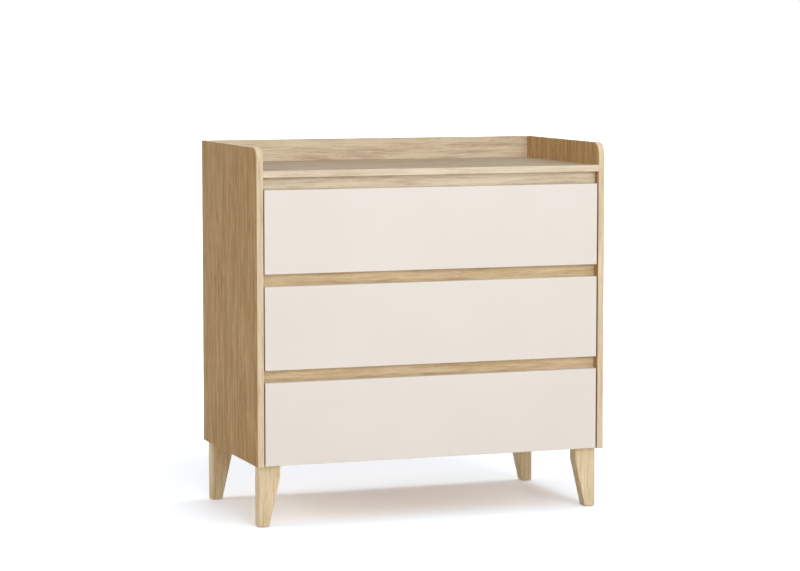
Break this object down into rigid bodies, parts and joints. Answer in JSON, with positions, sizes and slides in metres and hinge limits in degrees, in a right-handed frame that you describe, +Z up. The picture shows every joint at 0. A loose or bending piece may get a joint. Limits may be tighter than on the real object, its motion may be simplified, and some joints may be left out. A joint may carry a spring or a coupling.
{
  "type": "chest of drawers",
  "caption": "Chest of drawers with inset handle-less fronts, finger gaps over recessed rails, a low gallery round the top and tapered legs; the drawers slide on ball runners.",
  "frame": {"origin": "on the floor under the middle of the chest", "axes": "+X to the chest's right hand side as seen from the front, +Y from the front to the back, +Z up"},
  "size_m": [0.9, 0.477, 0.914],
  "materials": {
    "oak_side": "oak pattern melamine, grain upright, fine matt texture",
    "oak_top": "oak pattern melamine, grain from side to side, fine matt texture",
    "oak_board": "oak pattern melamine, grain from side to side, fine matt texture",
    "front_lacquer": "warm cream lacquer on fibreboard, matt and smooth",
    "leg_wood": "light solid wood, sanded and clear lacquered, grain upright",
    "drawer_board": "off-white melamine, satin",
    "fibreboard": "thin fibreboard with an off-white face, satin",
    "dowel_wood": "plain beech",
    "runner_steel": "bright zinc plated rolled steel",
    "ball_steel": "greased steel balls in a thin cage",
    "screw_steel": "zinc plated screws and bolts",
    "cam_zinc": "die cast zinc, dull",
    "bumper_plastic": "black moulded plastic",
    "glide_plastic": "pale moulded plastic, satin"
  },
  "bodies": {
    "carcass": {"side_panel_left": "oak_side", "side_panel_right": "oak_side", "top_panel": "oak_top", "bottom_panel": "oak_board", "gallery_back_rail": "oak_board", "front_rail_lower": "oak_board", "front_rail_middle": "oak_board", "front_rail_upper": "oak_board", "back_panel": "fibreboard", "leg_front_left": "leg_wood", "leg_front_right": "leg_wood", "leg_rear_left": "leg_wood", "leg_rear_right": "leg_wood", "leg_screws": "screw_steel", "leg_glides": "glide_plastic", "cam_locks": "cam_zinc", "cam_bolts": "screw_steel", "dowels": "dowel_wood", "runner_bumpers": "bumper_plastic", "runner_cabinet_screws": "screw_steel", "lower_runner_cabinet_left": "runner_steel", "lower_runner_cabinet_right": "runner_steel", "middle_runner_cabinet_left": "runner_steel", "middle_runner_cabinet_right": "runner_steel", "upper_runner_cabinet_left": "runner_steel", "upper_runner_cabinet_right": "runner_steel"},
    "lower_drawer": {"lower_drawer_front": "front_lacquer", "lower_drawer_side_left": "drawer_board", "lower_drawer_side_right": "drawer_board", "lower_drawer_back": "drawer_board", "lower_drawer_floor": "fibreboard", "lower_runner_drawer_left": "runner_steel", "lower_runner_drawer_right": "runner_steel", "lower_runner_drawer_screws": "screw_steel"},
    "lower_middle_members": {"lower_runner_middle_members": "runner_steel"},
    "lower_outer_balls": {"lower_runner_outer_balls": "ball_steel"},
    "lower_inner_balls": {"lower_runner_inner_balls": "ball_steel"},
    "middle_drawer": {"middle_drawer_front": "front_lacquer", "middle_drawer_side_left": "drawer_board", "middle_drawer_side_right": "drawer_board", "middle_drawer_back": "drawer_board", "middle_drawer_floor": "fibreboard", "middle_runner_drawer_left": "runner_steel", "middle_runner_drawer_right": "runner_steel", "middle_runner_drawer_screws": "screw_steel"},
    "middle_middle_members": {"middle_runner_middle_members": "runner_steel"},
    "middle_outer_balls": {"middle_runner_outer_balls": "ball_steel"},
    "middle_inner_balls": {"middle_runner_inner_balls": "ball_steel"},
    "upper_drawer": {"upper_drawer_front": "front_lacquer", "upper_drawer_side_left": "drawer_board", "upper_drawer_side_right": "drawer_board", "upper_drawer_back": "drawer_board", "upper_drawer_floor": "fibreboard", "upper_runner_drawer_left": "runner_steel", "upper_runner_drawer_right": "runner_steel", "upper_runner_drawer_screws": "screw_steel"},
    "upper_middle_members": {"upper_runner_middle_members": "runner_steel"},
    "upper_outer_balls": {"upper_runner_outer_balls": "ball_steel"},
    "upper_inner_balls": {"upper_runner_inner_balls": "ball_steel"}
  },
  "joints": [
    {"name": "lower_drawer_slide", "type": "slide", "parent": "carcass", "child": "lower_drawer", "axis": [0, -1, 0], "range_m": [0, 0.38]},
    {"name": "lower_middle_members_slide", "type": "slide", "parent": "carcass", "child": "lower_middle_members", "axis": [0, -1, 0], "range_m": [0, 0.19]},
    {"name": "lower_outer_balls_slide", "type": "slide", "parent": "carcass", "child": "lower_outer_balls", "axis": [0, -1, 0], "range_m": [0, 0.095]},
    {"name": "lower_inner_balls_slide", "type": "slide", "parent": "carcass", "child": "lower_inner_balls", "axis": [0, -1, 0], "range_m": [0, 0.285]},
    {"name": "middle_drawer_slide", "type": "slide", "parent": "carcass", "child": "middle_drawer", "axis": [0, -1, 0], "range_m": [0, 0.38]},
    {"name": "middle_middle_members_slide", "type": "slide", "parent": "carcass", "child": "middle_middle_members", "axis": [0, -1, 0], "range_m": [0, 0.19]},
    {"name": "middle_outer_balls_slide", "type": "slide", "parent": "carcass", "child": "middle_outer_balls", "axis": [0, -1, 0], "range_m": [0, 0.095]},
    {"name": "middle_inner_balls_slide", "type": "slide", "parent": "carcass", "child": "middle_inner_balls", "axis": [0, -1, 0], "range_m": [0, 0.285]},
    {"name": "upper_drawer_slide", "type": "slide", "parent": "carcass", "child": "upper_drawer", "axis": [0, -1, 0], "range_m": [0, 0.38]},
    {"name": "upper_middle_members_slide", "type": "slide", "parent": "carcass", "child": "upper_middle_members", "axis": [0, -1, 0], "range_m": [0, 0.19]},
    {"name": "upper_outer_balls_slide", "type": "slide", "parent": "carcass", "child": "upper_outer_balls", "axis": [0, -1, 0], "range_m": [0, 0.095]},
    {"name": "upper_inner_balls_slide", "type": "slide", "parent": "carcass", "child": "upper_inner_balls", "axis": [0, -1, 0], "range_m": [0, 0.285]}
  ],
  "couplings": [
    {"joint": "lower_middle_members_slide", "follows": "lower_drawer_slide", "ratio": 0.5},
    {"joint": "lower_outer_balls_slide", "follows": "lower_drawer_slide", "ratio": 0.25},
    {"joint": "lower_inner_balls_slide", "follows": "lower_drawer_slide", "ratio": 0.75},
    {"joint": "middle_middle_members_slide", "follows": "middle_drawer_slide", "ratio": 0.5},
    {"joint": "middle_outer_balls_slide", "follows": "middle_drawer_slide", "ratio": 0.25},
    {"joint": "middle_inner_balls_slide", "follows": "middle_drawer_slide", "ratio": 0.75},
    {"joint": "upper_middle_members_slide", "follows": "upper_drawer_slide", "ratio": 0.5},
    {"joint": "upper_outer_balls_slide", "follows": "upper_drawer_slide", "ratio": 0.25},
    {"joint": "upper_inner_balls_slide", "follows": "upper_drawer_slide", "ratio": 0.75}
  ]
}
